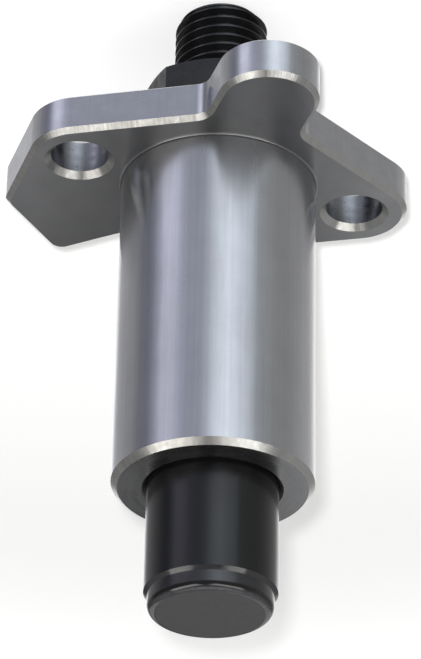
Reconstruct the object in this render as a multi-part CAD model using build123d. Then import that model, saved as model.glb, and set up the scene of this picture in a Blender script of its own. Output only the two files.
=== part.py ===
from build123d import *
import math
import os

# Manual cam chain tensioner: flanged barrel, plunger, threaded adjuster and its lock nut.
# All sizes in mm. The origin is on the barrel's axis in the mounting face; +Z is the push direction.
# X runs through the two bolt holes. The lobe that covers the oil passage points to +Y.

# Barrel
barrel_dia = 22.5
barrel_len = 39.4
barrel_end_chamfer = 0.7
barrel_root_bevel = 0.35

# Plunger bore
plunger_clearance = 0.05
bore_floor_z = 7.0
bore_mouth_chamfer = 0.45

# Flange
flange_thickness = 4.7
flange_edge_chamfer = 0.57
flange_edge_break = 0.15
hub_radius = 14.5
hole_spacing = 33.6
hole_dia = 6.6
hole_countersink = 0.7
hole_edge_break = 0.3
ear_radius = 6.15
lobe_x = -0.2
lobe_y = 18.3
lobe_radius = 5.7
lobe_root_fillet = 2.2

# Plate of the flange's long ear
plate_end_x = -22.6
plate_shoulder_radius = 6.2
plate_cut_distance = 24.2
plate_back_distance = 4.45
plate_cut_radius = 2.2
plate_tip_radius = 1.9
plate_root_fillet = 2.8

# Adjuster screw, thread 7/16-20
thread_dia = 10.9
thread_pitch = 1.27
thread_depth_share = 0.613
thread_clearance = 0.05
thread_hole_chamfer = 0.5
screw_outer_z = -22.9
screw_shoulder_z = 18.0
screw_nose_dia = 7.0
screw_nose_len = 12.0
screw_nose_chamfer = 0.5
socket_across_flats = 5.0
socket_depth = 6.0

# Plunger
plunger_dia = 14.6
plunger_rear_z = 19.5
plunger_tip_z = 54.4
plunger_rear_chamfer = 0.6
tip_land_dia = 13.8
tip_land_len = 2.05
tip_bevel_len = 0.4
tip_round = 0.95
nose_clearance = 0.05
plunger_mouth_chamfer = 0.6

# Retaining ring that ties the plunger to the screw's nose
ring_wire = 1.0
ring_z = 22.5
ring_gap_deg = 40.0
ring_seat_clearance = 0.02
ring_run_clearance = 0.06

# Lock nut and bonded seal washer
nut_across_flats = 17.46
nut_thickness = 6.5
nut_corner_deg = 26.6
nut_chamfer_deg = 30.0
nut_bearing_share = 0.94
nut_mouth_chamfer = 0.5
washer_overhang = 0.17
seal_width = 1.1
washer_thickness = 1.2
washer_edge_break = 0.15
seal_bead_inset = 0.22
seat_clearance = 0.03

# How far a cutter runs past the faces that it opens, and the least gap or turn that gets an edge
cutter_over = 1.0
least_gap = 1e-6
least_turn_deg = 0.01

# Worked out from the sizes above
barrel_radius = barrel_dia / 2
plunger_radius = plunger_dia / 2
bore_radius = plunger_radius + plunger_clearance
thread_radius = thread_dia / 2
thread_hole_radius = thread_radius + thread_clearance
thread_depth = thread_depth_share * thread_pitch
nose_radius = screw_nose_dia / 2
nose_hole_radius = nose_radius + nose_clearance
screw_tip_z = screw_shoulder_z + screw_nose_len
ring_radius = nose_radius
ring_groove_width = ring_wire + 2 * ring_run_clearance
ear_x = hole_spacing / 2
ear_normal_deg = math.degrees(math.acos((hub_radius - ear_radius) / ear_x))
washer_top_z = -flange_thickness - seat_clearance
nut_seat_z = washer_top_z - washer_thickness - seat_clearance
nut_outer_z = nut_seat_z - nut_thickness
washer_radius = nut_across_flats / 2 + washer_overhang
seal_radius = thread_hole_radius + seal_width
plate_cut_deg = -135.0
plate_back_deg = -45.0


# Points and tangents of the flange's outline


def polar(radius, degrees):
    """The point at a radius and angle about the barrel's axis."""
    angle = math.radians(degrees)
    return (radius * math.cos(angle), radius * math.sin(angle))


def meet(first_deg, first_distance, second_deg, second_distance):
    """Where two straight edges cross, each given by its normal's angle and its distance from the axis."""
    a = polar(1, first_deg)
    b = polar(1, second_deg)
    scale = a[0] * b[1] - a[1] * b[0]
    x = (first_distance * b[1] - second_distance * a[1]) / scale
    y = (second_distance * a[0] - first_distance * b[0]) / scale
    return (x, y)


def arc(centre, radius, start_deg, turn_deg):
    """A true arc about a centre, from an angle through a turn."""
    return CenterArc((centre[0], centre[1], 0), radius, start_deg, turn_deg)


def rounded_corner(first_deg, first_distance, second_deg, second_distance, radius):
    """The arc that rounds the corner between two straight edges."""
    centre = meet(first_deg, first_distance - radius, second_deg, second_distance - radius)
    return arc(centre, radius, first_deg, (second_deg - first_deg) % 360)


def rim_arcs(start_deg, end_deg):
    """The stretch of the hub's rim between two angles, or nothing where straight edges meet."""
    turn = end_deg - start_deg
    return [arc((0, 0), hub_radius, start_deg, turn)] if turn > least_turn_deg else []


def lobe_root(side):
    """The centre of the arc at one foot of the lobe, and its touching angle up from the X axis.

    The arc touches the hub's rim, or the ear's straight edge where that lies further out.
    """
    x = lobe_x + side * (lobe_radius + lobe_root_fillet)
    reach = hub_radius + lobe_root_fillet
    touch_deg = max(math.degrees(math.acos(abs(x) / reach)), ear_normal_deg)
    touch = math.radians(touch_deg)
    y = (reach - abs(x) * math.cos(touch)) / math.sin(touch)
    return (x, y), touch_deg


def plate_root_deg():
    """The direction of the arc's centre between the plate's back edge and the hub's rim."""
    reach = hub_radius + plate_root_fillet
    rise = plate_back_distance + plate_root_fillet
    return plate_back_deg - math.degrees(math.acos(rise / reach))


def ear_and_lobe_edges():
    """The outline from the bolt ear, over the oil passage lobe, to the hub's rim behind it."""
    right_root, right_deg = lobe_root(1)
    left_root, left_deg = lobe_root(-1)
    return [
        arc((ear_x, 0), ear_radius, -ear_normal_deg, 2 * ear_normal_deg),
        *rim_arcs(ear_normal_deg, right_deg),
        arc(right_root, lobe_root_fillet, right_deg + 180, -right_deg),
        arc((lobe_x, lobe_y), lobe_radius, 0, 180),
        arc(left_root, lobe_root_fillet, 0, -left_deg),
        *rim_arcs(180 - left_deg, 180 - ear_normal_deg),
    ]


def plate_edges():
    """The outline round the long ear's plate and back along the hub's rim."""
    root_deg = plate_root_deg()
    root_centre = polar(hub_radius + plate_root_fillet, root_deg)
    near_deg = 180 - ear_normal_deg
    end = -plate_end_x
    cut = plate_cut_distance
    back = plate_back_distance
    return [
        rounded_corner(near_deg, hub_radius, 180, end, plate_shoulder_radius),
        rounded_corner(180, end, plate_cut_deg, cut, plate_cut_radius),
        rounded_corner(plate_cut_deg, cut, plate_back_deg, back, plate_tip_radius),
        arc(root_centre, plate_root_fillet, plate_back_deg + 180, root_deg - plate_back_deg),
        *rim_arcs(root_deg, -ear_normal_deg),
    ]


def flange_outline():
    """The three-lobed outline, its arcs closed up with straight edges."""
    arcs = ear_and_lobe_edges() + plate_edges()
    edges = []
    for piece, following in zip(arcs, arcs[1:] + arcs[:1]):
        edges.append(piece)
        start = piece @ 1
        end = following @ 0
        if (end - start).length > least_gap:
            edges.append(Line(start, end))
    return make_face(edges)


# Turned shapes


def turned(points):
    """A solid turned about the Z axis from its half outline of (radius, height) points."""
    outline = Polyline([(radius, 0, height) for radius, height in points], close=True)
    return revolve(make_face(outline), Axis.Z)


def through_bore(radius, bottom, top, bottom_chamfer, top_chamfer):
    """A round cutter that runs past both faces, with a flared mouth at each."""
    return turned(
        [
            (0, bottom - cutter_over),
            (radius + bottom_chamfer + cutter_over, bottom - cutter_over),
            (radius, bottom + bottom_chamfer),
            (radius, top - top_chamfer),
            (radius + top_chamfer + cutter_over, top + cutter_over),
            (0, top + cutter_over),
        ]
    )


def blind_bore(radius, floor, mouth, mouth_chamfer):
    """A round cutter with a flat floor and a flared mouth."""
    return turned(
        [
            (0, floor),
            (radius, floor),
            (radius, mouth - mouth_chamfer),
            (radius + mouth_chamfer + cutter_over, mouth + cutter_over),
            (0, mouth + cutter_over),
        ]
    )


# Housing


def flange_plate():
    """The flange with its chamfered mounting edge and its lightly broken outer edge."""
    plate = extrude(flange_outline(), -flange_thickness)
    mounting_edges = plate.faces().sort_by(Axis.Z)[-1].outer_wire().edges()
    plate = chamfer(mounting_edges, flange_edge_chamfer)
    outer_edges = plate.faces().sort_by(Axis.Z)[0].outer_wire().edges()
    return chamfer(outer_edges, flange_edge_break)


def bolt_holes():
    """The two clearance holes, countersunk at the mounting face."""
    hole = through_bore(hole_dia / 2, -flange_thickness, 0, hole_edge_break, hole_countersink)
    return Pos(ear_x, 0, 0) * hole + Pos(-ear_x, 0, 0) * hole


def barrel_body():
    """The plain outside of the barrel, with its end chamfer and its small flare at the flange."""
    return turned(
        [
            (0, -flange_thickness / 2),
            (barrel_radius + barrel_root_bevel, -flange_thickness / 2),
            (barrel_radius + barrel_root_bevel, 0),
            (barrel_radius, barrel_root_bevel),
            (barrel_radius, barrel_len - barrel_end_chamfer),
            (barrel_radius - barrel_end_chamfer, barrel_len),
            (0, barrel_len),
        ]
    )


def housing():
    """The one-piece housing: barrel and flange, plunger bore and threaded wall."""
    solid = flange_plate() + barrel_body()
    solid -= bolt_holes()
    solid -= blind_bore(bore_radius, bore_floor_z, barrel_len, bore_mouth_chamfer)
    solid -= through_bore(
        thread_hole_radius, -flange_thickness, bore_floor_z, thread_hole_chamfer, thread_hole_chamfer
    )
    return solid


# Adjuster screw


def adjuster_screw():
    """The threaded adjuster with its key socket and its grooved nose, turned from one bar."""
    groove_low = ring_z - ring_groove_width / 2
    groove_high = ring_z + ring_groove_width / 2
    groove_radius = ring_radius - ring_wire / 2 - ring_run_clearance
    body = turned(
        [
            (0, screw_outer_z),
            (thread_radius - thread_depth, screw_outer_z),
            (thread_radius, screw_outer_z + thread_depth),
            (thread_radius, screw_shoulder_z - thread_depth),
            (thread_radius - thread_depth, screw_shoulder_z),
            (nose_radius, screw_shoulder_z),
            (nose_radius, groove_low),
            (groove_radius, groove_low),
            (groove_radius, groove_high),
            (nose_radius, groove_high),
            (nose_radius, screw_tip_z - screw_nose_chamfer),
            (nose_radius - screw_nose_chamfer, screw_tip_z),
            (0, screw_tip_z),
        ]
    )
    hexagon = RegularPolygon(socket_across_flats / 2, 6, major_radius=False)
    socket = extrude(Pos(0, 0, screw_outer_z) * hexagon, socket_depth)
    return body - socket


# Plunger and its retaining ring


def plunger():
    """The sliding plunger: guided shank, stepped and rounded tip, blind hole for the screw's nose."""
    groove_low = ring_z - ring_groove_width / 2
    groove_high = ring_z + ring_groove_width / 2
    groove_radius = ring_radius + ring_wire / 2 + ring_seat_clearance
    land_radius = tip_land_dia / 2
    land_z = plunger_tip_z - tip_land_len
    hole_end_z = screw_tip_z + nose_clearance
    body = turned(
        [
            (nose_hole_radius + plunger_mouth_chamfer, plunger_rear_z),
            (plunger_radius - plunger_rear_chamfer, plunger_rear_z),
            (plunger_radius, plunger_rear_z + plunger_rear_chamfer),
            (plunger_radius, land_z - tip_bevel_len),
            (land_radius, land_z),
            (land_radius, plunger_tip_z),
            (0, plunger_tip_z),
            (0, hole_end_z),
            (nose_hole_radius, hole_end_z),
            (nose_hole_radius, groove_high),
            (groove_radius, groove_high),
            (groove_radius, groove_low),
            (nose_hole_radius, groove_low),
            (nose_hole_radius, plunger_rear_z + plunger_mouth_chamfer),
        ]
    )
    tip_rim = body.edges().filter_by(GeomType.CIRCLE).sort_by(Axis.Z)[-1]
    return fillet(tip_rim, tip_round)


def retaining_ring():
    """The open ring of square wire, half in the screw's groove and half in the plunger's."""
    section = Plane.XZ * Pos(ring_radius, ring_z) * Rectangle(ring_wire, ring_wire)
    ring = revolve(section, Axis.Z, 360 - ring_gap_deg)
    return Rot(0, 0, ring_gap_deg / 2) * ring


# Lock nut and seal washer


def lock_nut():
    """The thin hexagon nut, chamfered at both ends, with a countersunk thread hole."""
    hexagon = RegularPolygon(nut_across_flats / 2, 6, major_radius=False, rotation=nut_corner_deg)
    prism = extrude(Pos(0, 0, nut_outer_z) * hexagon, nut_thickness)
    bearing_radius = nut_bearing_share * nut_across_flats / 2
    corner_radius = nut_across_flats / math.sqrt(3) + cutter_over
    drop = (corner_radius - bearing_radius) * math.tan(math.radians(nut_chamfer_deg))
    envelope = turned(
        [
            (0, nut_outer_z),
            (bearing_radius, nut_outer_z),
            (corner_radius, nut_outer_z + drop),
            (corner_radius, nut_seat_z - drop),
            (bearing_radius, nut_seat_z),
            (0, nut_seat_z),
        ]
    )
    hole = through_bore(
        thread_hole_radius, nut_outer_z, nut_seat_z, nut_mouth_chamfer, nut_mouth_chamfer
    )
    return (prism & envelope) - hole


def seal_washer_ring():
    """The steel ring of the bonded seal washer."""
    low = washer_top_z - washer_thickness
    return turned(
        [
            (seal_radius, low),
            (washer_radius - washer_edge_break, low),
            (washer_radius, low + washer_edge_break),
            (washer_radius, washer_top_z - washer_edge_break),
            (washer_radius - washer_edge_break, washer_top_z),
            (seal_radius, washer_top_z),
        ]
    )


def seal_washer_rubber():
    """The rubber lip bonded inside the steel ring, thickest at its bead."""
    inner = thread_hole_radius
    middle = inner + seal_width / 2
    low = washer_top_z - washer_thickness
    return turned(
        [
            (seal_radius, low + seal_bead_inset),
            (seal_radius, washer_top_z - seal_bead_inset),
            (middle, washer_top_z),
            (inner, washer_top_z - seal_bead_inset),
            (inner, low + seal_bead_inset),
            (middle, low),
        ]
    )


# Writing the pieces

nodes = {
    "housing": housing,
    "plunger": plunger,
    "retaining_ring": retaining_ring,
    "adjuster_screw": adjuster_screw,
    "lock_nut": lock_nut,
    "seal_washer_ring": seal_washer_ring,
    "seal_washer_rubber": seal_washer_rubber,
}

os.makedirs("parts", exist_ok=True)
for name, make in nodes.items():
    export_step(make(), f"parts/{name}.step")
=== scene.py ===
import math

import bpy
from mathutils import Matrix, Vector
from mathutils.geometry import delaunay_2d_cdt

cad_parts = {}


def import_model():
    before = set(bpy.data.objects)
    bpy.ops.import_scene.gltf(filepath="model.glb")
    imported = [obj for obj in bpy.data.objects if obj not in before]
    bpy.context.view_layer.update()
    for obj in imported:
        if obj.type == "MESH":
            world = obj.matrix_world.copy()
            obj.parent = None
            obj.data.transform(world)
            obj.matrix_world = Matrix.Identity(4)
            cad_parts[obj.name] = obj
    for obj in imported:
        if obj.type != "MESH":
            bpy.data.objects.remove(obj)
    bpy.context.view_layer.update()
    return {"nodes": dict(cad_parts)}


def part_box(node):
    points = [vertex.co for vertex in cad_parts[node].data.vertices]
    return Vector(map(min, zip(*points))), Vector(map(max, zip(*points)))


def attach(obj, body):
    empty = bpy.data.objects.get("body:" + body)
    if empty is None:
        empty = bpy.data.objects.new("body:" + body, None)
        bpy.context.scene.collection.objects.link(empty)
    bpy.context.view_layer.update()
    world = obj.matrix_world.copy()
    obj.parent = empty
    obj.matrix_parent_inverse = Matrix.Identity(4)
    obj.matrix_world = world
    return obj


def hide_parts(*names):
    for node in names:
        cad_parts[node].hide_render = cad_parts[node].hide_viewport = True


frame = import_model()

MM = 0.001

# Sizes and clearances that the solids share, in mm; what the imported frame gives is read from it
housing_low, housing_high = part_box("housing")
plunger_low, plunger_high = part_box("plunger")
screw_low, screw_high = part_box("adjuster_screw")

barrel_radius = 11.25
barrel_top = housing_high[2] / MM
barrel_end_chamfer = 0.7
barrel_root = 0.25
plunger_radius = plunger_high[0] / MM
plunger_clearance = 0.05
bore_radius = plunger_radius + plunger_clearance
bore_floor = 7.0
bore_mouth = 0.45
flange_bottom = housing_low[2] / MM
flange_chamfer = 0.57
flange_break = 0.15
hub_radius = 14.5
ear_x = 16.8
ear_radius = 6.15
hole_radius = 3.3
hole_countersink = 0.7
# Smaller than the solid's 0.3 mm, so that less of the floor shows through the holes, as in the photograph
hole_break = 0.12
lobe_x = -0.2
lobe_y = 18.3
lobe_radius = 5.7
lobe_root = 2.2
plate_end = -housing_low[0] / MM
plate_shoulder = 6.2
plate_cut = 24.2
plate_back = 4.45
plate_cut_radius = 2.2
plate_tip_radius = 1.9
plate_root = 2.8
plate_cut_deg = -135.0
plate_back_deg = -45.0
thread_radius = 5.45
thread_clearance = 0.05
thread_hole_radius = thread_radius + thread_clearance
thread_pitch = 1.27
thread_depth_share = 0.613
thread_depth = thread_depth_share * thread_pitch
thread_hole_chamfer = 0.5
screw_shoulder = 18.0
nose_radius = 3.5
nose_chamfer = 0.5
nose_clearance = 0.05
nose_hole_radius = nose_radius + nose_clearance
nose_hole_end = screw_high[2] / MM + nose_clearance
ring_wire = 1.0
ring_height = 22.5
ring_seat_clearance = 0.02
ring_run_clearance = 0.06
groove_low = ring_height - ring_wire / 2 - ring_run_clearance
groove_high = ring_height + ring_wire / 2 + ring_run_clearance
groove_radius = nose_radius - ring_wire / 2 - ring_run_clearance
ring_groove_radius = nose_radius + ring_wire / 2 + ring_seat_clearance
plunger_chamfer = 0.6
tip_land_radius = 6.9
tip_land_length = 2.05
tip_bevel = 0.4
tip_round = 0.95
socket_flats = 5.0
socket_depth = 6.0

# How finely curves are cut: steps round a full turn and along a straight edge, and degrees in an arc
round_steps = 192
hole_steps = 96
screw_steps = 72
straight_steps = 10
arc_spacing_deg = 3.0

# How near a turned face closes on its axis, and what counts as no length, in mm
centre_radius = 0.001
least_gap = 1e-6

# The photograph's camera, fitted to the object's edges: focal length in pixels, then mm and degrees
photo_width = 421
photo_height = 659
focal_px = 3132.3
camera_distance = 363.4
camera_elevation = 30.09
camera_roll = 1.151
camera_shift_right = 0.929
camera_shift_down = -16.48
hole_line_deg = -17.62

# The photograph's directions in the frame: to its right, toward the camera, and along the push
hole_line_turn = math.radians(hole_line_deg)
right_axis = Vector((math.cos(hole_line_turn), -math.sin(hole_line_turn), 0))
toward_axis = Vector((math.sin(hole_line_turn), math.cos(hole_line_turn), 0))
push_axis = Vector((0, 0, 1))


# Mesh building


class Shell:
    """Gathers the vertices, faces, finishes and UVs of one mesh, in mm."""

    def __init__(self):
        self.points = []
        self.faces = []
        self.finish = []
        self.uvs = []

    def add(self, points, faces, finish, uvs):
        """Adds faces with their own vertices, so that nothing shades across to the rest."""
        base = len(self.points)
        self.points.extend(points)
        for face, uv in zip(faces, uvs):
            self.faces.append([base + index for index in face])
            self.finish.append(finish)
            self.uvs.append(uv)

    def add_level(self, points, faces, finish):
        """Adds faces whose UVs are their places across the axis."""
        self.add(points, faces, finish, [[points[index][:2] for index in face] for face in faces])

    def build(self, name, materials, sharp_deg=30.0):
        """Makes the object, in metres, with edges sharper than the angle kept crisp."""
        mesh = bpy.data.meshes.new(name)
        mesh.from_pydata([Vector(point) * MM for point in self.points], [], self.faces)
        layer = mesh.uv_layers.new(name="UVMap")
        for polygon, uv, finish in zip(mesh.polygons, self.uvs, self.finish):
            polygon.material_index = finish
            for loop, corner in zip(polygon.loop_indices, uv):
                layer.data[loop].uv = corner
        for material in materials:
            mesh.materials.append(material)
        mesh.validate()
        mesh.shade_smooth()
        mesh.set_sharp_from_angle(angle=math.radians(sharp_deg))
        piece = bpy.data.objects.new(name, mesh)
        bpy.context.scene.collection.objects.link(piece)
        return piece


def polar(radius, degrees):
    """The point at a radius and angle about the axis."""
    angle = math.radians(degrees)
    return (radius * math.cos(angle), radius * math.sin(angle))


def running_length(points):
    """The length along a line of points, at each of them."""
    along = [0.0]
    for first, second in zip(points, points[1:]):
        along.append(along[-1] + math.dist(first, second))
    return along


def grid_face(row, step, after, width):
    """The face between two rows and two steps of points laid out in rows of a width."""
    low = row * width
    high = low + width
    return (low + step, low + after, high + after, high + step)


def grid_uv(left, right, low, high):
    """The UV corners of one such face."""
    return ((left, low), (right, low), (right, high), (left, high))


def add_turned(shell, profile, finish, steps=round_steps, centre=(0, 0)):
    """Adds a surface turned about a vertical axis from (radius, height) points."""
    points = []
    for radius, height in profile:
        for step in range(steps):
            x, y = polar(radius, 360 * step / steps)
            points.append((centre[0] + x, centre[1] + y, height))
    along = running_length(profile)
    girth = 2 * math.pi * max(radius for radius, height in profile)
    faces = []
    uvs = []
    for row in range(len(profile) - 1):
        for step in range(steps):
            left = girth * step / steps
            right = girth * (step + 1) / steps
            faces.append(grid_face(row, step, (step + 1) % steps, steps))
            uvs.append(grid_uv(left, right, along[row], along[row + 1]))
    shell.add(points, faces, finish, uvs)


def round_profile(arc_radius, arc_height, radius, start_deg, end_deg, steps=6):
    """Profile points along an arc about a (radius, height) point."""
    points = []
    for step in range(steps + 1):
        outward, upward = polar(radius, start_deg + (end_deg - start_deg) * step / steps)
        points.append((arc_radius + outward, arc_height + upward))
    return points


# The flange's outline


def meet(first_deg, first_distance, second_deg, second_distance):
    """Where two straight edges cross, each given by its normal's angle and distance from the axis."""
    a = polar(1, first_deg)
    b = polar(1, second_deg)
    scale = a[0] * b[1] - a[1] * b[0]
    x = (first_distance * b[1] - second_distance * a[1]) / scale
    y = (second_distance * a[0] - first_distance * b[0]) / scale
    return (x, y)


def arc_points(centre, radius, start_deg, turn_deg):
    """Points along an arc, close enough to shade as round."""
    steps = max(4, round(abs(turn_deg) / arc_spacing_deg))
    points = []
    for step in range(steps + 1):
        x, y = polar(radius, start_deg + turn_deg * step / steps)
        points.append((centre[0] + x, centre[1] + y))
    return points


def heading(point):
    """The direction from the axis to a point, in degrees."""
    return math.degrees(math.atan2(point[1], point[0]))


def corner_points(first_deg, first_distance, second_deg, second_distance, radius, inset):
    """The rounded corner between two straight edges, moved in by the inset."""
    centre = meet(first_deg, first_distance - radius, second_deg, second_distance - radius)
    return arc_points(centre, radius - inset, first_deg, (second_deg - first_deg) % 360)


def outline_arcs(inset):
    """The flange's arcs moved in by the inset, each with as many points at any inset."""
    hub = hub_radius - inset
    normal = math.degrees(math.acos((hub_radius - ear_radius) / ear_x))
    right = lobe_x + lobe_radius + lobe_root
    left = lobe_x - lobe_radius - lobe_root
    reach = hub_radius + lobe_root
    right_root = (right, math.sqrt(reach**2 - right**2))
    left_root = (left, math.sqrt(reach**2 - left**2))
    plate_reach = hub_radius + plate_root
    rise = plate_back + plate_root
    root_deg = plate_back_deg - math.degrees(math.acos(rise / plate_reach))
    root_centre = polar(plate_reach, root_deg)
    right_deg = heading(right_root)
    left_deg = heading(left_root)
    near = 180 - normal
    root = lobe_root + inset
    return [
        arc_points((ear_x, 0), ear_radius - inset, -normal, 2 * normal),
        arc_points((0, 0), hub, normal, (right_deg - normal) % 360),
        arc_points(right_root, root, right_deg + 180, -right_deg),
        arc_points((lobe_x, lobe_y), lobe_radius - inset, 0, 180),
        arc_points(left_root, root, 0, left_deg - 180),
        arc_points((0, 0), hub, left_deg, near - left_deg),
        corner_points(near, hub_radius, 180, plate_end, plate_shoulder, inset),
        corner_points(180, plate_end, plate_cut_deg, plate_cut, plate_cut_radius, inset),
        corner_points(plate_cut_deg, plate_cut, plate_back_deg, plate_back, plate_tip_radius, inset),
        arc_points(root_centre, plate_root + inset, plate_back_deg + 180, root_deg - plate_back_deg),
        arc_points((0, 0), hub, root_deg, (-normal - root_deg) % 360),
    ]


def outline(inset):
    """The closed outline as points, with the straight edges cut into short steps."""
    arcs = outline_arcs(inset)
    points = []
    for piece, following in zip(arcs, arcs[1:] + arcs[:1]):
        points.extend(piece[:-1])
        start = piece[-1]
        end = following[0]
        if math.dist(start, end) < least_gap:
            continue
        for step in range(straight_steps):
            share = step / straight_steps
            points.append(tuple(near + (far - near) * share for near, far in zip(start, end)))
    return points


def add_wall(shell, profile, finish):
    """Adds a band round the flange from (inset, height) pairs."""
    rings = [outline(inset) for inset, height in profile]
    count = len(rings[0])
    along = running_length(rings[0] + rings[0][:1])
    points = []
    for ring, (inset, height) in zip(rings, profile):
        points.extend((x, y, height) for x, y in ring)
    faces = []
    uvs = []
    for row in range(len(profile) - 1):
        low = profile[row][1]
        high = profile[row + 1][1]
        for step in range(count):
            faces.append(grid_face(row, step, (step + 1) % count, count))
            uvs.append(grid_uv(along[step], along[step + 1], low, high))
    shell.add(points, faces, finish, uvs)


def add_flat(shell, height, inset, holes, up, finish):
    """Adds the flange's flat face at a height, with round holes given as (x, y, radius)."""
    loops = [outline(inset)]
    for x, y, radius in holes:
        loops.append(arc_points((x, y), radius, 0, 360)[:-1])
    points = []
    edges = []
    for loop in loops:
        base = len(points)
        points.extend(Vector(point) for point in loop)
        edges.extend((base + step, base + (step + 1) % len(loop)) for step in range(len(loop)))
    flat, _, triangles, _, _, _ = delaunay_2d_cdt(points, edges, [], 1, least_gap)
    kept = []
    for triangle in triangles:
        middle = sum((flat[index] for index in triangle), Vector((0, 0))) / 3
        if any(math.dist(middle, (x, y)) < radius for x, y, radius in holes):
            continue
        kept.append(tuple(triangle) if up else tuple(reversed(triangle)))
    shell.add_level([(point[0], point[1], height) for point in flat], kept, finish)


# Finishes

# A noise's scale is in cycles a mm along the UVs, and in cycles a metre where it is solid
noise_range = (0.3, 0.7)
quarter_turn = 0.25

aluminium = (0.56, 0.565, 0.58)
bright_aluminium = (0.76, 0.755, 0.735)
ground_aluminium = (0.34, 0.343, 0.352)


class Network:
    """A node tree with short ways to add and join its nodes."""

    def __init__(self, tree):
        self.tree = tree

    def node(self, kind, settings=(), values=()):
        """Adds a node with its settings and its input values."""
        made = self.tree.nodes.new(kind)
        for key, value in settings:
            setattr(made, key, value)
        for key, value in values:
            made.inputs[key].default_value = value
        return made

    def link(self, source, target):
        self.tree.links.new(source, target)

    def spread(self, source, low, high, to_low, to_high, blend="LINEAR"):
        """Maps part of a value's range onto another."""
        made = self.node(
            "ShaderNodeMapRange",
            [("interpolation_type", blend)],
            [("From Min", low), ("From Max", high), ("To Min", to_low), ("To Max", to_high)],
        )
        self.link(source, made.inputs["Value"])
        return made.outputs["Result"]

    def math(self, operation, first, second):
        """Joins two values, each an output or a number, by one operation."""
        made = self.node("ShaderNodeMath", [("operation", operation)])
        for socket, value in zip(made.inputs, (first, second)):
            if isinstance(value, (int, float)):
                socket.default_value = value
            else:
                self.link(value, socket)
        return made.outputs[0]

    def mix(self, share, first, second):
        """Blends two colours by a share."""
        made = self.node("ShaderNodeMix", [("data_type", "RGBA")])
        self.link(share, made.inputs["Factor"])
        self.link(first, made.inputs["A"])
        self.link(second, made.inputs["B"])
        return made.outputs["Result"]


class Finish(Network):
    """A material built from a few named layers over one Principled shader."""

    def __init__(self, name, colour, metallic, roughness):
        self.material = bpy.data.materials.new(name)
        self.material.use_nodes = True
        super().__init__(self.material.node_tree)
        self.shader = self.tree.nodes["Principled BSDF"]
        self.colour = (*colour, 1)
        self.roughness = roughness
        self.shader.inputs["Base Color"].default_value = self.colour
        self.shader.inputs["Metallic"].default_value = metallic
        self.shader.inputs["Roughness"].default_value = roughness
        self.normal = None
        self.tint = None
        self.gloss = None

    def place(self, scale, solid=False):
        """Coordinates stretched by a scale: the mesh's own UVs in mm, or the object's space."""
        source = self.node("ShaderNodeTexCoord")
        mapping = self.node("ShaderNodeMapping", values=[("Scale", scale)])
        self.link(source.outputs["Object" if solid else "UV"], mapping.inputs["Vector"])
        return mapping.outputs["Vector"]

    def noise(self, scale, detail=3.0, rough=0.55, solid=False):
        """Noise with its own scale along each axis."""
        values = [("Scale", 1.0), ("Detail", detail), ("Roughness", rough)]
        made = self.node("ShaderNodeTexNoise", values=values)
        self.link(self.place(scale, solid), made.inputs["Vector"])
        return made.outputs["Fac"]

    def varied(self, scale, low, high, detail=3.0, rough=0.55, solid=False):
        """Noise whose usual range is spread between two values."""
        return self.spread(self.noise(scale, detail, rough, solid), *noise_range, low, high)

    def coordinate(self, source, letter):
        """One coordinate of the place on the object, or of its surface's normal."""
        place = self.node("ShaderNodeTexCoord")
        split = self.node("ShaderNodeSeparateXYZ")
        self.link(place.outputs[source], split.inputs["Vector"])
        return split.outputs[letter]

    def bump(self, height, strength, distance):
        """Lays a bump over those before it; the distance is in mm."""
        made = self.node("ShaderNodeBump", values=[("Strength", strength), ("Distance", distance * MM)])
        self.link(height, made.inputs["Height"])
        if self.normal:
            self.link(self.normal, made.inputs["Normal"])
        self.normal = made.outputs["Normal"]
        self.link(self.normal, self.shader.inputs["Normal"])

    def shade(self, share):
        """Multiplies the colour by a share."""
        made = self.node("ShaderNodeVectorMath", [("operation", "SCALE")])
        if self.tint:
            self.link(self.tint, made.inputs[0])
        else:
            made.inputs[0].default_value = self.colour[:3]
        self.link(share, made.inputs["Scale"])
        self.tint = made.outputs[0]
        self.link(self.tint, self.shader.inputs["Base Color"])

    def polish(self, share):
        """Multiplies the roughness by a share."""
        self.gloss = self.math("MULTIPLY", share, self.gloss or self.roughness)
        self.link(self.gloss, self.shader.inputs["Roughness"])

    def shine(self, level):
        """Sets how strongly a surface that isn't metal reflects."""
        self.shader.inputs["Specular IOR Level"].default_value = level

    def brush(self, amount):
        """Draws reflections out across the cutter's lines, which follow the UVs' first direction."""
        made = self.node("ShaderNodeTangent", [("direction_type", "UV_MAP"), ("uv_map", "UVMap")])
        self.link(made.outputs["Tangent"], self.shader.inputs["Tangent"])
        self.shader.inputs["Anisotropic"].default_value = amount
        self.shader.inputs["Anisotropic Rotation"].default_value = quarter_turn

    def surface(self, shader):
        """Makes a shader the material's surface."""
        self.link(shader.outputs[0], self.tree.nodes["Material Output"].inputs["Surface"])


def turned_barrel():
    """The barrel's fine turning, with reflections drawn out along the axis."""
    finish = Finish("turned_barrel", aluminium, 1.0, 0.24)
    finish.brush(0.9)
    finish.bump(finish.noise((0.03, 2.5, 1), 2.0, 0.6), 0.04, 0.004)
    finish.polish(finish.varied((0.5, 0.06, 1), 0.85, 1.2))
    finish.shade(finish.varied((2.4, 0.02, 1), 0.96, 1.04, 3.0, 0.6))
    finish.shade(finish.varied((0.25, 0.2, 1), 0.95, 1.03, 5.0))
    return finish.material


def turned_root():
    """The small fillet that the turning tool leaves at the barrel's foot; its colour, darker than the
    barrel's, is painted shade in the crease.
    """
    finish = Finish("turned_root", ground_aluminium, 1.0, 0.3)
    finish.bump(finish.noise((0.3, 4.0, 1), 2.0), 0.1, 0.004)
    finish.polish(finish.varied((0.4, 1.0, 1), 0.85, 1.2))
    return finish.material


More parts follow.
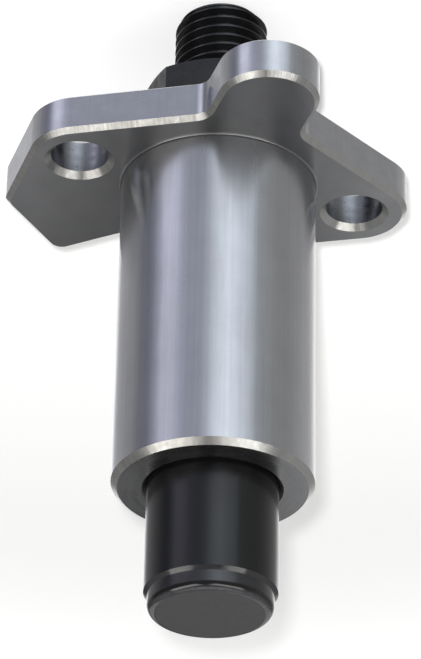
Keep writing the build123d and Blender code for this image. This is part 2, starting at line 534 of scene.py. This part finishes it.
def milled_wall():
    """The flange's side, milled along its outline."""
    finish = Finish("milled_wall", aluminium, 1.0, 0.24)
    finish.brush(0.75)
    finish.shade(finish.varied((2.5, 0.1, 1), 0.97, 1.03, 2.0))
    finish.polish(finish.varied((0.3, 0.5, 1), 0.85, 1.2))
    finish.shade(finish.varied((0.4, 0.6, 1), 0.94, 1.03, 5.0))
    return finish.material


def faced_plate():
    """The flange's flat faces, finely ground and slightly dull."""
    finish = Finish("mounting_face", ground_aluminium, 1.0, 0.31)
    finish.bump(finish.noise((3.0, 3.0, 3.0), 5.0, 0.7), 0.2, 0.003)
    finish.polish(finish.varied((0.25, 0.25, 1), 0.9, 1.15))
    finish.shade(finish.varied((0.3, 0.3, 1), 0.94, 1.04, 6.0, 0.65))
    return finish.material


def faced_end():
    """The barrel's end, with the rings that facing leaves."""
    finish = Finish("turned_end", (0.42, 0.425, 0.435), 1.0, 0.27)
    finish.bump(finish.noise((0.02, 3.5, 1), 3.0, 0.6), 0.3, 0.006)
    finish.bump(finish.noise((2.0, 8.0, 1), 4.0, 0.7), 0.12, 0.002)
    finish.polish(finish.varied((0.1, 0.8, 1), 0.85, 1.2))
    finish.shade(finish.varied((0.1, 2.5, 1), 0.92, 1.05, 3.0))
    return finish.material


def cut_chamfer(name, bars, depth):
    """A freshly cut edge with the cutter's chatter across it."""
    finish = Finish(name, bright_aluminium, 1.0, 0.32)
    finish.brush(0.6)
    chatter = finish.noise((bars, 0.12, 1), 3.0, 0.6)
    finish.bump(chatter, depth, 0.02)
    # The chatter's dark bars fade toward the right ear
    fade_end = 9 * MM
    strength = finish.spread(finish.coordinate("Object", "X"), 0.0, fade_end, 1.0, 0.2)
    loss = finish.spread(chatter, 0.35, 0.7, 0.3, -0.06)
    finish.shade(finish.math("SUBTRACT", 1, finish.math("MULTIPLY", loss, strength)))
    finish.shade(finish.varied((bars * 0.2, 0.3, 1), 0.93, 1.03, 2.0))
    finish.polish(finish.varied((1.2, 1.5, 1), 0.85, 1.25))
    return finish.material


def drilled_bore():
    """A drilled hole's wall, with turning lines and small dark pits; its colour, darker than the other
    aluminium, is painted shade inside the hole.
    """
    finish = Finish("drilled_bore", (0.30, 0.305, 0.32), 1.0, 0.32)
    finish.brush(0.6)
    finish.bump(finish.noise((0.12, 5.0, 1), 3.0, 0.6), 0.35, 0.01)
    pits = finish.noise((2.2, 3.0, 1), 2.0, 0.5)
    finish.shade(finish.spread(pits, 0.66, 0.72, 1.0, 0.25))
    finish.polish(finish.varied((0.4, 1.5, 1), 0.8, 1.4))
    return finish.material


def dull_bore():
    """The plunger bore and the threaded wall, dull from use."""
    finish = Finish("plunger_bore", (0.3, 0.3, 0.31), 1.0, 0.4)
    finish.bump(finish.noise((0.1, 4.0, 1), 3.0), 0.3, 0.01)
    finish.polish(finish.varied((0.4, 0.8, 1), 0.85, 1.2))
    return finish.material


def anodised_shank():
    """Satin black anodising over fine turning, highlights drawn out along the axis."""
    finish = Finish("anodised_shank", (0.001, 0.001, 0.001), 0.0, 0.2)
    finish.shine(0.58)
    finish.brush(0.85)
    finish.bump(finish.noise((0.06, 6.0, 1), 3.0, 0.6), 0.12, 0.004)
    finish.bump(finish.noise((1.6, 1.8, 1), 4.0, 0.7), 0.08, 0.004)
    finish.polish(finish.varied((0.25, 0.2, 1), 0.85, 1.2, 4.0))
    finish.shade(finish.varied((0.5, 0.4, 1), 0.8, 1.25, 5.0))
    return finish.material


def anodised_edge():
    """The plunger's step and rounding, rubbed glossier than its sides, with painted light where the
    rounding faces up.
    """
    finish = Finish("anodised_edge", (0.005, 0.005, 0.0055), 0.0, 0.12)
    finish.shine(0.8)
    finish.bump(finish.noise((0.8, 3.0, 1), 4.0, 0.6), 0.15, 0.006)
    finish.polish(finish.varied((0.5, 1.5, 1), 0.7, 1.5, 3.0))
    finish.shade(finish.varied((1.2, 2.0, 1), 0.8, 1.3, 4.0))
    # Painted light: paler where the rounding turns to face along the axis, toward the lamps above
    finish.shade(finish.spread(finish.coordinate("Normal", "Z"), 0.6, 0.97, 1.0, 7.0))
    return finish.material


def anodised_face():
    """The plunger's end face, evenly matt; its grey, lighter than the shank's black, is partly a matt
    finish and partly painted light from above.
    """
    finish = Finish("anodised_face", (0.044, 0.044, 0.045), 0.0, 0.5)
    finish.bump(finish.noise((5.0, 5.0, 1), 4.0, 0.7), 0.15, 0.004)
    finish.polish(finish.varied((0.6, 0.6, 1), 0.9, 1.1))
    finish.shade(finish.varied((0.8, 0.8, 1), 0.94, 1.06, 6.0, 0.65))
    return finish.material


def black_oxide():
    """Satin black oxide on the nut, a little uneven."""
    finish = Finish("black_oxide", (0.006, 0.006, 0.0065), 0.0, 0.3)
    finish.bump(finish.noise((1500, 1500, 1500), 4.0, 0.6, True), 0.3, 0.01)
    finish.polish(finish.varied((700, 700, 700), 0.6, 1.4, 4.0, 0.6, True))
    finish.shade(finish.varied((400, 400, 400), 0.7, 1.4, 5.0, 0.6, True))
    return finish.material


def oiled_thread():
    """Wet-looking black oxide on the thread, pitted so that it sparkles."""
    finish = Finish("oiled_thread", (0.003, 0.003, 0.003), 0.0, 0.09)
    finish.shine(0.65)
    finish.bump(finish.noise((1.3, 2.2, 1), 2.0, 0.6), 0.8, 0.06)
    finish.bump(finish.noise((4.0, 5.0, 1), 1.0, 0.5), 0.6, 0.02)
    finish.polish(finish.spread(finish.noise((0.9, 1.2, 1), 3.0), 0.35, 0.65, 0.6, 2.2))
    finish.shade(finish.varied((0.7, 0.9, 1), 0.7, 1.5, 4.0))
    return finish.material


def zinc_plate():
    """The bonded washer's plated steel."""
    finish = Finish("zinc_plate", (0.6, 0.6, 0.6), 1.0, 0.32)
    finish.bump(finish.noise((1800, 1800, 1800), 3.0, 0.6, True), 0.2, 0.004)
    finish.polish(finish.varied((500, 500, 500), 0.8, 1.3, 4.0, 0.6, True))
    return finish.material


def spring_wire():
    """The retaining ring's drawn wire."""
    finish = Finish("spring_wire", (0.3, 0.3, 0.31), 1.0, 0.3)
    finish.bump(finish.noise((2500, 2500, 2500), 3.0, 0.6, True), 0.15, 0.003)
    finish.polish(finish.varied((900, 900, 900), 0.8, 1.3, 3.0, 0.6, True))
    return finish.material


def nitrile_rubber():
    """The washer's moulded sealing lip."""
    finish = Finish("nitrile", (0.02, 0.02, 0.02), 0.0, 0.6)
    finish.bump(finish.noise((1600, 1600, 1600), 3.0, 0.6, True), 0.2, 0.005)
    finish.polish(finish.varied((600, 600, 600), 0.85, 1.15, 3.0, 0.6, True))
    return finish.material


housing_finishes = [
    milled_wall(),
    faced_plate(),
    cut_chamfer("flange_chamfer", 3.2, 0.7),
    turned_barrel(),
    drilled_bore(),
    cut_chamfer("turned_chamfer", 0.5, 0.2),
    dull_bore(),
    turned_root(),
    faced_end(),
]
plunger_finishes = [anodised_shank(), anodised_edge(), anodised_face(), dull_bore()]
oxide = black_oxide()
thread_oxide = oiled_thread()
zinc = zinc_plate()
nitrile = nitrile_rubber()
steel = spring_wire()


# Housing


def housing_body():
    """The housing as one shell: flange, barrel, bore and holes."""
    wall, face, edge, barrel, hole, turned_edge, bore, root, end_face = range(9)
    shell = Shell()
    foot = barrel_radius + barrel_root
    mouth = hole_radius + hole_countersink
    back_mouth = hole_radius + hole_break
    thread_mouth = thread_hole_radius + thread_hole_chamfer
    add_wall(shell, [(flange_break, flange_bottom), (0, flange_bottom + flange_break)], edge)
    add_wall(shell, [(0, flange_bottom + flange_break), (0, -flange_chamfer)], wall)
    add_wall(shell, [(0, -flange_chamfer), (flange_chamfer, 0)], edge)
    top_holes = [(0, 0, foot), (ear_x, 0, mouth), (-ear_x, 0, mouth)]
    add_flat(shell, 0, flange_chamfer, top_holes, True, face)
    back_holes = [(0, 0, thread_mouth), (ear_x, 0, back_mouth), (-ear_x, 0, back_mouth)]
    add_flat(shell, flange_bottom, flange_break, back_holes, False, face)
    fillet = round_profile(foot, barrel_root, barrel_root, 270, 180)
    end = barrel_top - barrel_end_chamfer
    add_turned(shell, fillet, root)
    add_turned(shell, [(barrel_radius, barrel_root), (barrel_radius, end)], barrel)
    end_radius = barrel_radius - barrel_end_chamfer
    add_turned(shell, [(barrel_radius, end), (end_radius, barrel_top)], turned_edge)
    rim = bore_radius + bore_mouth
    add_turned(shell, [(end_radius, barrel_top), (rim, barrel_top)], end_face)
    bore_profile = [
        (rim, barrel_top),
        (bore_radius, barrel_top - bore_mouth),
        (bore_radius, bore_floor),
        (thread_mouth, bore_floor),
        (thread_hole_radius, bore_floor - thread_hole_chamfer),
        (thread_hole_radius, flange_bottom + thread_hole_chamfer),
        (thread_mouth, flange_bottom),
    ]
    add_turned(shell, bore_profile, bore)
    for side in (1, -1):
        centre = (side * ear_x, 0)
        low = flange_bottom + hole_break
        bands = [
            ((mouth, 0), (hole_radius, -hole_countersink), turned_edge),
            ((hole_radius, -hole_countersink), (hole_radius, low), hole),
            ((hole_radius, low), (back_mouth, flange_bottom), bore),
        ]
        for upper, lower, finish in bands:
            add_turned(shell, [upper, lower], finish, hole_steps, centre)
    return shell.build("housing_body", housing_finishes)


housing = housing_body()
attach(housing, "housing")
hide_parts("housing")


# Plunger


def plunger_body():
    """The plunger: shank, stepped and rounded tip, end face, and the hole with the ring's groove."""
    shank, edge, face, hole = range(4)
    shell = Shell()
    rear = plunger_low[2] / MM
    tip = plunger_high[2] / MM
    radius = plunger_radius
    land = tip - tip_land_length
    round_low = tip - tip_round
    shoulder = [
        (nose_hole_radius + plunger_chamfer, rear),
        (radius - plunger_chamfer, rear),
        (radius, rear + plunger_chamfer),
    ]
    rounding = round_profile(tip_land_radius - tip_round, round_low, tip_round, 0, 90, 12)
    inside = [
        (centre_radius, nose_hole_end),
        (nose_hole_radius, nose_hole_end),
        (nose_hole_radius, groove_high),
        (ring_groove_radius, groove_high),
        (ring_groove_radius, groove_low),
        (nose_hole_radius, groove_low),
        (nose_hole_radius, rear + plunger_chamfer),
        (nose_hole_radius + plunger_chamfer, rear),
    ]
    add_turned(shell, shoulder, edge)
    add_turned(shell, [(radius, rear + plunger_chamfer), (radius, land - tip_bevel)], shank)
    add_turned(shell, [(radius, land - tip_bevel), (tip_land_radius, land)], edge)
    add_turned(shell, [(tip_land_radius, land)] + rounding, edge)
    add_turned(shell, [(tip_land_radius - tip_round, tip), (centre_radius, tip)], face)
    add_turned(shell, inside, hole, hole_steps)
    return shell.build("plunger_body", plunger_finishes)


plunger = plunger_body()
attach(plunger, "plunger")
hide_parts("plunger")


# Adjuster screw

# Edges of the screw sharper than this stay crisp
thread_sharp_deg = 40.0


def thread_rise(phase):
    """How far the thread stands above its root, 0 to 1, at a phase of one pitch."""
    crest = 0.125
    root = 0.25
    flank = (1 - crest - root) / 2
    if phase < root:
        return 0.0
    if phase < root + flank:
        return (phase - root) / flank
    if phase < root + flank + crest:
        return 1.0
    return 1 - (phase - root - flank - crest) / flank


def add_thread(shell, low, high, outside, depth, finish):
    """Adds a right-hand thread between two heights, run out to its root at both ends."""
    # Places along one pitch, closer together at the corners of the thread's form
    phases = (0.0, 0.04, 0.21, 0.25, 0.29, 0.52, 0.56, 0.6, 0.65, 0.69, 0.73, 0.96)
    turns = int((high - low) / thread_pitch) + 2
    rows = turns * len(phases)
    points = []
    for row in range(rows):
        phase = phases[row % len(phases)]
        rise = thread_rise(phase)
        for step in range(screw_steps + 1):
            climb = row // len(phases) - 1 + phase + step / screw_steps
            height = min(max(low + climb * thread_pitch, low), high)
            inward = min(height - low, high - height)
            radius = outside - depth + min(depth * rise, inward)
            points.append((*polar(radius, 360 * step / screw_steps), height))
    faces = []
    uvs = []
    girth = 2 * math.pi * outside
    width = screw_steps + 1
    for row in range(rows - 1):
        for step in range(screw_steps):
            face = grid_face(row, step, step + 1, width)
            bottom = points[face[0]][2]
            top = points[face[3]][2]
            faces.append(face)
            uvs.append(grid_uv(girth * step / screw_steps, girth * (step + 1) / screw_steps, bottom, top))
    shell.add(points, faces, finish, uvs)


def hexagon_ring(across_flats, height):
    """The corners of a hexagon round the axis."""
    return [(*polar(across_flats / math.sqrt(3), 60 * corner), height) for corner in range(6)]


def adjuster_body():
    """The adjuster: thread, nose with its groove, and the key socket in its outer end."""
    thread, plain = range(2)
    shell = Shell()
    low = screw_low[2] / MM
    high = screw_high[2] / MM
    root = thread_radius - thread_depth
    add_thread(shell, low, screw_shoulder, thread_radius, thread_depth, thread)
    add_turned(shell, [(root, screw_shoulder), (nose_radius, screw_shoulder)], plain, screw_steps)
    nose = [
        (nose_radius, screw_shoulder),
        (nose_radius, groove_low),
        (groove_radius, groove_low),
        (groove_radius, groove_high),
        (nose_radius, groove_high),
        (nose_radius, high - nose_chamfer),
        (nose_radius - nose_chamfer, high),
        (centre_radius, high),
    ]
    add_turned(shell, nose, plain, screw_steps)
    rim = [(*polar(root, 360 * step / screw_steps), low) for step in range(screw_steps)]
    mouth = hexagon_ring(socket_flats, low)
    socket_floor = hexagon_ring(socket_flats, low + socket_depth)
    # The end face joins each sixth of the rim to the two nearest corners of the socket
    sixth = screw_steps // 6
    end_faces = []
    for corner in range(6):
        here = screw_steps + corner
        after = screw_steps + (corner + 1) % 6
        for step in range(sixth):
            edge = corner * sixth + step
            end_faces.append(((edge + 1) % screw_steps, edge, here if step < sixth / 2 else after))
        end_faces.append((corner * sixth + sixth // 2, here, after))
    shell.add_level(rim + mouth, end_faces, plain)
    walls = [grid_face(0, corner, (corner + 1) % 6, 6) for corner in range(6)]
    shell.add_level(mouth + socket_floor, walls, plain)
    shell.add_level(socket_floor, [(5, 4, 3, 2, 1, 0)], plain)
    return shell.build("adjuster_body", [thread_oxide, oxide], thread_sharp_deg)


adjuster = adjuster_body()
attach(adjuster, "adjuster")
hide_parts("adjuster_screw")


# Finishes of the solids that stay


def paint(node, material):
    """Gives a CAD node one finish."""
    piece = frame["nodes"][node]
    piece.data.materials.clear()
    piece.data.materials.append(material)


paint("lock_nut", oxide)
paint("retaining_ring", steel)
paint("seal_washer_ring", zinc)
paint("seal_washer_rubber", nitrile)


# Floor, world and lamps

# The floor's size, and its own glow to the eye, which rises to white with distance in metres
floor_half = 2.0
floor_colour = (0.8, 0.8, 0.8)
floor_glow = 0.18
glow_near = 0.13
glow_far = 0.3

# The room's light on matt surfaces, and the brightness that the shadow lamp gives the object
room_light = 0.4
fill_strength = 3.9

# The shadow lamp's width and its place right of and above the lens, and the lamps' aim, in mm
shadow_lamp_width = 6
shadow_lamp_offset = (-4.2, 5.8)
aim_height = 10

# How far behind the object the reflected cards stand, in mm
card_distance = 120

# Elevations in degrees over which the reflections pass from one level to the next
card_fade = (-31, -25)
middle_fade = (-14, 1)
upper_fade = (12, 26)

# The cards below: azimuth in degrees, colour, and the share of it that is left higher up
card_strength = 2.0
card_stops = [
    (-180, (0.80, 0.80, 0.80), 1.0),
    (-159, (0.75, 0.75, 0.76), 1.0),
    (-150, (0.29, 0.29, 0.30), 1.0),
    (-143, (0.245, 0.245, 0.255), 1.0),
    (-122, (0.225, 0.225, 0.235), 1.0),
    (-106, (0.19, 0.19, 0.20), 0.85),
    (-93, (0.13, 0.13, 0.155), 0.7),
    (-82, (0.115, 0.125, 0.16), 0.75),
    (-74, (0.25, 0.255, 0.32), 0.7),
    (-65, (0.60, 0.60, 0.72), 0.42),
    (-53, (0.54, 0.545, 0.65), 0.43),
    (-42, (0.29, 0.30, 0.37), 0.8),
    (-31, (0.23, 0.24, 0.285), 0.9),
    (-20, (0.225, 0.235, 0.28), 1.0),
    (-10, (0.32, 0.34, 0.385), 1.0),
    (2, (0.54, 0.585, 0.64), 1.12),
    (14, (0.62, 0.665, 0.73), 1.18),
    (28, (0.50, 0.54, 0.60), 1.14),
    (43, (0.38, 0.415, 0.45), 1.05),
    (45.5, (0.25, 0.265, 0.28), 1.0),
    (60, (0.20, 0.205, 0.21), 1.0),
    (82, (0.168, 0.168, 0.17), 1.0),
    (100, (0.185, 0.185, 0.185), 1.0),
    (118, (0.225, 0.225, 0.225), 1.05),
    (142, (0.26, 0.26, 0.26), 1.1),
    (153, (0.60, 0.60, 0.60), 1.0),
    (180, (0.80, 0.80, 0.80), 1.0),
]

# The room at the horizon and above it: azimuth in degrees and grey level
middle_levels = [
    (-180, 0.085),
    (-146, 0.11),
    (-130, 0.27),
    (-114, 0.05),
    (-60, 0.05),
    (-15, 0.10),
    (0, 0.13),
    (40, 0.13),
    (60, 0.14),
    (99, 0.28),
    (150, 0.25),
    (180, 0.085),
]
upper_levels = [
    (-180, 0.085),
    (-146, 0.10),
    (-130, 0.28),
    (-98, 0.20),
    (-80, 0.04),
    (-60, 0.03),
    (0, 0.05),
    (60, 0.08),
    (99, 0.30),
    (150, 0.28),
    (180, 0.085),
]


def sine(degrees):
    """The sine of an elevation, which is the height of its direction."""
    return math.sin(math.radians(degrees))


def direction(azimuth, elevation):
    """A direction from its azimuth, to the right of the camera's, and its height, in degrees."""
    side = math.radians(azimuth)
    rise = math.radians(elevation)
    level = toward_axis * math.cos(side) + right_axis * math.sin(side)
    return level * math.cos(rise) + push_axis * math.sin(rise)


def flat_piece(name, corners, finish):
    """One flat face with a finish, its corners in order round it."""
    mesh = bpy.data.meshes.new(name)
    mesh.from_pydata(corners, [], [range(len(corners))])
    mesh.materials.append(finish.material)
    piece = bpy.data.objects.new(name, mesh)
    bpy.context.scene.collection.objects.link(piece)
    return piece


def straight_rays(network):
    """Whether the eye sees a place, directly or through glass."""
    rays = network.node("ShaderNodeLightPath").outputs
    return network.math("MAXIMUM", rays["Is Camera Ray"], rays["Is Transmission Ray"])


def floor():
    """The pale floor at the screw's end, white to the eye but for the object's shadow."""
    finish = Finish("floor_white", floor_colour, 0.0, 0.9)
    place = finish.node("ShaderNodeTexCoord")
    distance = finish.node("ShaderNodeVectorMath", [("operation", "LENGTH")])
    finish.link(place.outputs["Object"], distance.inputs[0])
    away = distance.outputs["Value"]
    glow = finish.spread(away, glow_near, glow_far, floor_glow, 1.0, "SMOOTHSTEP")
    white = finish.node("ShaderNodeEmission")
    finish.link(finish.math("MULTIPLY", straight_rays(finish), glow), white.inputs["Strength"])
    both = finish.node("ShaderNodeAddShader")
    finish.link(finish.shader.outputs[0], both.inputs[0])
    finish.link(white.outputs[0], both.inputs[1])
    finish.surface(both)
    sides = [(-1, -1), (1, -1), (1, 1), (-1, 1)]
    corners = [(x * floor_half, y * floor_half, screw_low[2]) for x, y in sides]
    piece = flat_piece("floor", corners, finish)
    piece.visible_glossy = False


def back_card(name, across, heights, level):
    """A grey card that only reflections see, between two places across and two heights in mm."""
    left, right = across
    low, high = heights
    corners = []
    for place, height in ((left, low), (right, low), (right, high), (left, high)):
        corners.append((right_axis * place - toward_axis * card_distance + push_axis * height) * MM)
    finish = Finish(name, (0, 0, 0), 0.0, 1.0)
    glow = finish.node("ShaderNodeEmission", values=[("Color", (level, level, level, 1))])
    finish.surface(glow)
    piece = flat_piece(name, corners, finish)
    piece.visible_camera = False
    piece.visible_diffuse = False
    piece.visible_shadow = False
    piece.visible_transmission = False


def softbox(name, azimuth, elevation, distance, width, height, level, colour):
    """A soft lamp of a given brightness, sized in metres, facing the object, hidden from the camera."""
    data = bpy.data.lights.new(name, "AREA")
    data.shape = "RECTANGLE"
    data.size = width
    data.size_y = height
    data.energy = level * math.pi * width * height
    data.color = colour
    piece = bpy.data.objects.new(name, data)
    away = direction(azimuth, elevation)
    piece.location = push_axis * aim_height * MM + away * distance
    piece.rotation_euler = away.to_track_quat("Z", "Y").to_euler()
    piece.visible_camera = False
    bpy.context.scene.collection.objects.link(piece)
    return piece


def round_ramp(network, azimuth, stops):
    """Levels at azimuths in degrees, joined by straight blends; alpha holds a second share."""
    ramp = network.node("ShaderNodeValToRGB")
    elements = ramp.color_ramp.elements
    elements[0].color = stops[0][1]
    elements[1].color = stops[-1][1]
    for degrees, colour in stops[1:-1]:
        elements.new(degrees / 360 + 0.5).color = colour
    network.link(azimuth, ramp.inputs["Fac"])
    return ramp


def grey_stops(levels):
    """Stops of plain grey."""
    return [(degrees, (level, level, level, 1.0)) for degrees, level in levels]


def climb(network, height, fade, blend="LINEAR"):
    """How far a height has risen through a fade's two elevations, 0 to 1."""
    low, high = fade
    return network.spread(height, sine(low), sine(high), 0, 1, blend)


def world():
    """A white studio whose reflections show a ring of cards below, and a dim room above."""
    scene_world = bpy.data.worlds.new("studio")
    scene_world.use_nodes = True
    net = Network(scene_world.node_tree)
    background = net.tree.nodes["Background"]
    place = net.node("ShaderNodeTexCoord").outputs["Generated"]
    axes = []
    for axis in (right_axis, toward_axis, push_axis):
        along = net.node("ShaderNodeVectorMath", [("operation", "DOT_PRODUCT")], [(1, axis)])
        net.link(place, along.inputs[0])
        axes.append(along.outputs["Value"])
    side, toward, height = axes
    # What mirrors see below the horizon: the ring of cards, dimmer higher up where its share says so
    turn = net.math("ARCTAN2", side, toward)
    azimuth = net.spread(turn, -math.pi, math.pi, 0, 1)
    stops = [(degrees, (*tone, share)) for degrees, tone, share in card_stops]
    cards = round_ramp(net, azimuth, stops)
    lost = net.math("SUBTRACT", 1, cards.outputs["Alpha"])
    lost_here = net.math("MULTIPLY", lost, climb(net, height, card_fade))
    kept = net.math("SUBTRACT", 1, lost_here)
    lower = net.node("ShaderNodeVectorMath", [("operation", "SCALE")])
    net.link(cards.outputs["Color"], lower.inputs[0])
    net.link(net.math("MULTIPLY", kept, card_strength), lower.inputs["Scale"])
    # What they see at the horizon and above it
    middle = round_ramp(net, azimuth, grey_stops(middle_levels))
    upper = round_ramp(net, azimuth, grey_stops(upper_levels))
    to_middle = climb(net, height, middle_fade, "SMOOTHSTEP")
    to_upper = climb(net, height, upper_fade, "SMOOTHSTEP")
    room = net.mix(to_middle, lower.outputs[0], middle.outputs["Color"])
    room = net.mix(to_upper, room, upper.outputs["Color"])
    # The eye sees white, mirrors see the room, and matt surfaces get the plain light
    white = net.node("ShaderNodeRGB")
    white.outputs[0].default_value = (1, 1, 1, 1)
    plain = net.node("ShaderNodeRGB")
    plain.outputs[0].default_value = (*[room_light] * 3, 1)
    glossy = net.node("ShaderNodeLightPath").outputs["Is Glossy Ray"]
    colour = net.mix(glossy, plain.outputs[0], room)
    colour = net.mix(straight_rays(net), colour, white.outputs[0])
    net.link(colour, background.inputs["Color"])
    bpy.context.scene.world = scene_world


def camera():
    """The camera of the photograph, upside down because the photograph hangs the plunger down."""
    tilt = math.radians(camera_elevation)
    roll = math.radians(camera_roll)
    back = toward_axis * math.cos(tilt) + push_axis * math.sin(tilt)
    down = push_axis * math.cos(tilt) - toward_axis * math.sin(tilt)
    image_right = right_axis * math.cos(roll) - down * math.sin(roll)
    image_down = right_axis * math.sin(roll) + down * math.cos(roll)
    place = back * camera_distance
    place -= image_right * camera_shift_right
    place -= image_down * camera_shift_down
    data = bpy.data.cameras.new("camera")
    data.sensor_width = 36
    data.lens = focal_px / max(photo_width, photo_height) * data.sensor_width
    data.clip_start = 0.01
    data.clip_end = 20
    piece = bpy.data.objects.new("camera", data)
    axes = Matrix((image_right, -image_down, back)).transposed()
    piece.matrix_world = Matrix.Translation(place * MM) @ axes.to_4x4()
    bpy.context.scene.collection.objects.link(piece)
    bpy.context.scene.camera = piece


def shadow_lamp():
    """A small lamp beside the camera, whose soft shadow shows below and to the right."""
    width = shadow_lamp_width * MM
    distance = camera_distance * MM
    level = fill_strength * (distance / width) ** 2
    lamp = softbox("shadow_lamp", 0, camera_elevation, distance, width, width, level, (1, 1, 1))
    offset = Vector((*shadow_lamp_offset, 0)) * MM
    lamp.location = bpy.context.scene.camera.matrix_world @ offset
    lamp.visible_glossy = False


floor()
back_card("left_card", across=(-80, -22), heights=(70, 140), level=0.68)
back_card("right_low_card", across=(17, 70), heights=(40, 98), level=0.70)
back_card("right_high_card", across=(6, 70), heights=(98, 160), level=0.54)
world()
softbox(
    "left_softbox",
    azimuth=-57,
    elevation=51,
    distance=0.5,
    width=0.40,
    height=0.18,
    level=2.4,
    colour=(1.0, 0.98, 0.93),
)
softbox(
    "right_softbox",
    azimuth=37,
    elevation=53,
    distance=0.5,
    width=0.42,
    height=0.17,
    level=2.3,
    colour=(1.0, 0.99, 0.96),
)
softbox(
    "top_softbox",
    azimuth=180,
    elevation=82,
    distance=0.8,
    width=0.5,
    height=0.5,
    level=0.5,
    colour=(1, 1, 1),
)
camera()
shadow_lamp()

bpy.context.scene.view_settings.view_transform = "Standard"
